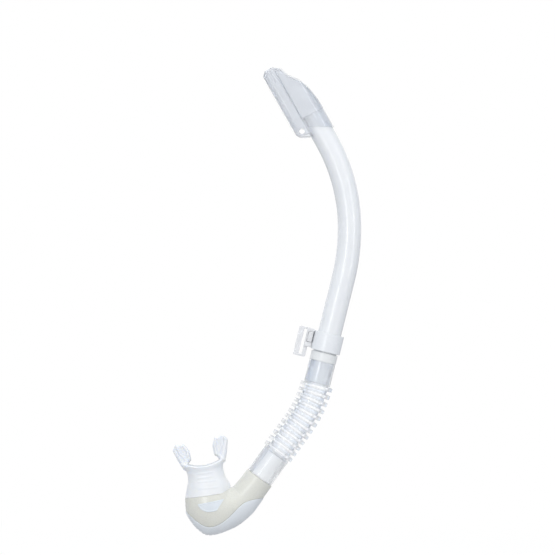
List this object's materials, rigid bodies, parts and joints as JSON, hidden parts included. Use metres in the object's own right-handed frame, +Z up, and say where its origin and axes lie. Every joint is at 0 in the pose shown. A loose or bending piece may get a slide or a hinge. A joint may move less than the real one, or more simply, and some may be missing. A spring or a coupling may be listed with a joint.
{
  "type": "snorkel tube",
  "caption": "Curved white snorkel tube with clear splash guard, sliding strap keeper, ribbed flexible hose, swivelling purge chamber and silicone mouthpiece with bite tabs.",
  "frame": {"origin": "centre of the strap slot in the keeper's buckle", "axes": "+Z up as the snorkel is worn, +X towards the outside of the barrel's bend, the whole centreline lies in the XZ plane and Y is the thickness"},
  "size_m": [0.176, 0.039, 0.436],
  "materials": {
    "barrel_plastic": "glossy translucent white",
    "guard_clear": "clear polycarbonate",
    "soft_grip": "soft translucent white",
    "keeper_plastic": "satin translucent white",
    "hose_silicone": "clear silicone",
    "white_plastic": "white moulded",
    "seal_rubber": "matte",
    "clip_steel": "spring steel",
    "chamber_cream": "satin cream",
    "membrane_silicone": "soft translucent",
    "cover_plastic": "satin bluish white",
    "mouth_silicone": "translucent silicone"
  },
  "bodies": {
    "barrel": {"barrel": "barrel_plastic", "guard_hood": "guard_clear", "guard_baffle": "guard_clear", "hose_collar": "barrel_plastic", "flex_hose": "hose_silicone"},
    "grip": {"keeper_grip": "soft_grip"},
    "ring": {"keeper_ring": "keeper_plastic"},
    "buckle": {"strap_buckle": "keeper_plastic"},
    "button": {"release_button": "keeper_plastic"},
    "hose_end": {"swivel_spigot": "white_plastic", "swivel_seal": "seal_rubber", "swivel_clip": "clip_steel"},
    "chamber": {"swivel_bush": "white_plastic", "chamber_body": "chamber_cream", "purge_seat": "white_plastic", "purge_cover": "cover_plastic", "badge_near": "cover_plastic", "badge_far": "cover_plastic", "mouthpiece": "mouth_silicone"},
    "membrane": {"purge_membrane": "membrane_silicone"}
  },
  "joints": [
    {"name": "keeper_slide", "type": "slide", "parent": "barrel", "child": "grip", "axis": [0.2419, 0, 0.9703], "range_m": [0, 0.045]},
    {"name": "keeper_turn", "type": "hinge", "parent": "grip", "child": "ring", "pos_m": [0.0227, 0, -0.00154], "axis": [0.2419, 0, 0.9703], "continuous": true},
    {"name": "buckle_release", "type": "slide", "parent": "ring", "child": "buckle", "axis": [-0.9703, 0, 0.2419], "range_m": [0, 0.008]},
    {"name": "button_press", "type": "slide", "parent": "buckle", "child": "button", "axis": [0, 1, 0], "range_m": [0, 0.001], "stiffness_N_per_m": 400},
    {"name": "hose_flex", "type": "hinge", "parent": "barrel", "child": "hose_end", "pos_m": [-0.00209, 0, -0.07417], "axis": [0, 1, 0], "range_deg": [-35, 25], "stiffness_Nm_per_rad": 0.35, "deforming": ["flex_hose"]},
    {"name": "chamber_swivel", "type": "hinge", "parent": "hose_end", "child": "chamber", "pos_m": [-0.04058, 0, -0.12735], "axis": [0.5878, 0, 0.809], "continuous": true},
    {"name": "membrane_lift", "type": "slide", "parent": "chamber", "child": "membrane", "axis": [-0.5, 0, -0.866], "range_m": [0, 0.0015], "stiffness_N_per_m": 20, "springref_m": -0.0005}
  ]
}
